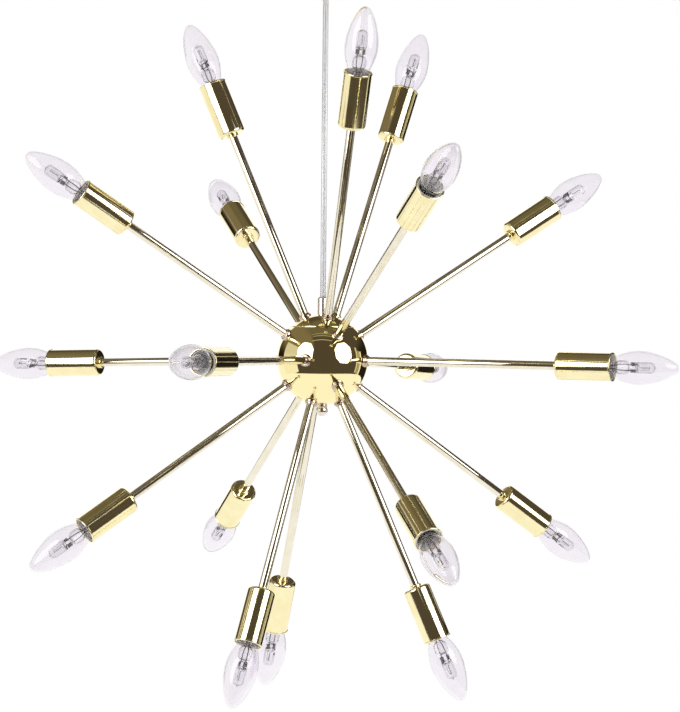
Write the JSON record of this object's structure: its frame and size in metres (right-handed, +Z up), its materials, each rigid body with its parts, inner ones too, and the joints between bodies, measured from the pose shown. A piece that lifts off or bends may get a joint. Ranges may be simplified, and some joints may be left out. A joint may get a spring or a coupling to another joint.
{
  "type": "sputnik chandelier",
  "caption": "Hanging lamp: a polished brass ball on a clear cable, with straight arms in all directions that each end in a cup and a clear candle bulb.",
  "frame": {"origin": "middle of the ceiling face, between the two ceiling screw holes", "axes": "+Z up into the ceiling, +X to the right of the picture along the two ceiling screws, +Y away from the camera"},
  "size_m": [0.7318, 0.7318, 0.7989],
  "materials": {
    "polished_brass": "polished and lacquered",
    "plated_steel": "zinc plated",
    "clear_flex": "clear flexible sheath over stranded cores",
    "wire_sheath": "plain insulation",
    "white_moulding": "moulded, plain",
    "bulb_glass": "clear glass"
  },
  "bodies": {
    "rose": {"ceiling_bracket": "plated_steel", "canopy": "polished_brass", "canopy_screws": "polished_brass", "canopy_bush": "polished_brass", "bush_nut": "plated_steel", "cable_anchor": "plated_steel", "anchor_nut": "plated_steel", "anchor_screw": "plated_steel", "mains_terminal": "white_moulding", "supply_cores": "wire_sheath", "cable_stub": "clear_flex"},
    "cable_bend": {"cable_neck": "clear_flex"},
    "cable_run": {"cable": "clear_flex"},
    "lamp": {"cable_tail": "clear_flex", "tail_cores": "wire_sheath", "stem_grip": "polished_brass", "stem_screw": "plated_steel", "stem_nipple": "plated_steel", "stem_nut": "plated_steel", "wiring_stirrup": "plated_steel", "centre_rod": "plated_steel", "rod_nuts": "plated_steel", "junction_block": "white_moulding", "ball_cap": "polished_brass", "ball_bowl": "polished_brass", "finial": "polished_brass", "ball_collars": "polished_brass", "lock_nuts": "plated_steel", "cup_collars": "polished_brass", "lamp_holders": "white_moulding", "holder_contacts": "polished_brass", "arm_leads": "wire_sheath", "top_arms": "polished_brass", "upper_arms": "polished_brass", "middle_arms": "polished_brass", "lower_arms": "polished_brass", "bottom_arms": "polished_brass", "top_cups": "polished_brass", "upper_cups": "polished_brass", "middle_cups": "polished_brass", "lower_cups": "polished_brass", "bottom_cups": "polished_brass"},
    "bulb_01_body": {"bulb_01": "bulb_glass"},
    "bulb_02_body": {"bulb_02": "bulb_glass"},
    "bulb_03_body": {"bulb_03": "bulb_glass"},
    "bulb_04_body": {"bulb_04": "bulb_glass"},
    "bulb_05_body": {"bulb_05": "bulb_glass"},
    "bulb_06_body": {"bulb_06": "bulb_glass"},
    "bulb_07_body": {"bulb_07": "bulb_glass"},
    "bulb_08_body": {"bulb_08": "bulb_glass"},
    "bulb_09_body": {"bulb_09": "bulb_glass"},
    "bulb_10_body": {"bulb_10": "bulb_glass"},
    "bulb_11_body": {"bulb_11": "bulb_glass"},
    "bulb_12_body": {"bulb_12": "bulb_glass"},
    "bulb_13_body": {"bulb_13": "bulb_glass"},
    "bulb_14_body": {"bulb_14": "bulb_glass"},
    "bulb_15_body": {"bulb_15": "bulb_glass"},
    "bulb_16_body": {"bulb_16": "bulb_glass"},
    "bulb_17_body": {"bulb_17": "bulb_glass"},
    "bulb_18_body": {"bulb_18": "bulb_glass"}
  },
  "joints": [
    {"name": "swing_fore_aft", "type": "hinge", "parent": "rose", "child": "cable_bend", "pos_m": [0, 0, -0.0377], "axis": [1, 0, 0], "range_deg": [-12, 12]},
    {"name": "swing_sideways", "type": "hinge", "parent": "cable_bend", "child": "cable_run", "pos_m": [0, 0, -0.0437], "axis": [0, 1, 0], "range_deg": [-12, 12]},
    {"name": "turn_on_cable", "type": "hinge", "parent": "cable_run", "child": "lamp", "pos_m": [0, 0, -0.3725], "axis": [0, 0, 1], "range_deg": [-90, 90]},
    {"name": "bulb_01_out", "type": "slide", "parent": "lamp", "child": "bulb_01_body", "axis": [0.2714, 0.2811, 0.9205], "range_m": [0, 0.034]},
    {"name": "bulb_02_out", "type": "slide", "parent": "lamp", "child": "bulb_02_body", "axis": [-0.3791, 0.0945, 0.9205], "range_m": [0, 0.034]},
    {"name": "bulb_03_out", "type": "slide", "parent": "lamp", "child": "bulb_03_body", "axis": [0.1077, -0.3756, 0.9205], "range_m": [0, 0.034]},
    {"name": "bulb_04_out", "type": "slide", "parent": "lamp", "child": "bulb_04_body", "axis": [0.7806, 0.3314, 0.5299], "range_m": [0, 0.034]},
    {"name": "bulb_05_out", "type": "slide", "parent": "lamp", "child": "bulb_05_body", "axis": [-0.3314, 0.7806, 0.5299], "range_m": [0, 0.034]},
    {"name": "bulb_06_out", "type": "slide", "parent": "lamp", "child": "bulb_06_body", "axis": [-0.7806, -0.3314, 0.5299], "range_m": [0, 0.034]},
    {"name": "bulb_07_out", "type": "slide", "parent": "lamp", "child": "bulb_07_body", "axis": [0.3314, -0.7806, 0.5299], "range_m": [0, 0.034]},
    {"name": "bulb_08_out", "type": "slide", "parent": "lamp", "child": "bulb_08_body", "axis": [0.3583, 0.9334, -0.0175], "range_m": [0, 0.034]},
    {"name": "bulb_09_out", "type": "slide", "parent": "lamp", "child": "bulb_09_body", "axis": [-0.9334, 0.3583, -0.0175], "range_m": [0, 0.034]},
    {"name": "bulb_10_out", "type": "slide", "parent": "lamp", "child": "bulb_10_body", "axis": [-0.3583, -0.9334, -0.0175], "range_m": [0, 0.034]},
    {"name": "bulb_11_out", "type": "slide", "parent": "lamp", "child": "bulb_11_body", "axis": [0.9334, -0.3583, -0.0175], "range_m": [0, 0.034]},
    {"name": "bulb_12_out", "type": "slide", "parent": "lamp", "child": "bulb_12_body", "axis": [0.7574, 0.3372, -0.5592], "range_m": [0, 0.034]},
    {"name": "bulb_13_out", "type": "slide", "parent": "lamp", "child": "bulb_13_body", "axis": [-0.3372, 0.7574, -0.5592], "range_m": [0, 0.034]},
    {"name": "bulb_14_out", "type": "slide", "parent": "lamp", "child": "bulb_14_body", "axis": [-0.7574, -0.3372, -0.5592], "range_m": [0, 0.034]},
    {"name": "bulb_15_out", "type": "slide", "parent": "lamp", "child": "bulb_15_body", "axis": [0.3372, -0.7574, -0.5592], "range_m": [0, 0.034]},
    {"name": "bulb_16_out", "type": "slide", "parent": "lamp", "child": "bulb_16_body", "axis": [-0.1589, 0.357, -0.9205], "range_m": [0, 0.034]},
    {"name": "bulb_17_out", "type": "slide", "parent": "lamp", "child": "bulb_17_body", "axis": [-0.2297, -0.3161, -0.9205], "range_m": [0, 0.034]},
    {"name": "bulb_18_out", "type": "slide", "parent": "lamp", "child": "bulb_18_body", "axis": [0.3886, -0.0408, -0.9205], "range_m": [0, 0.034]}
  ]
}
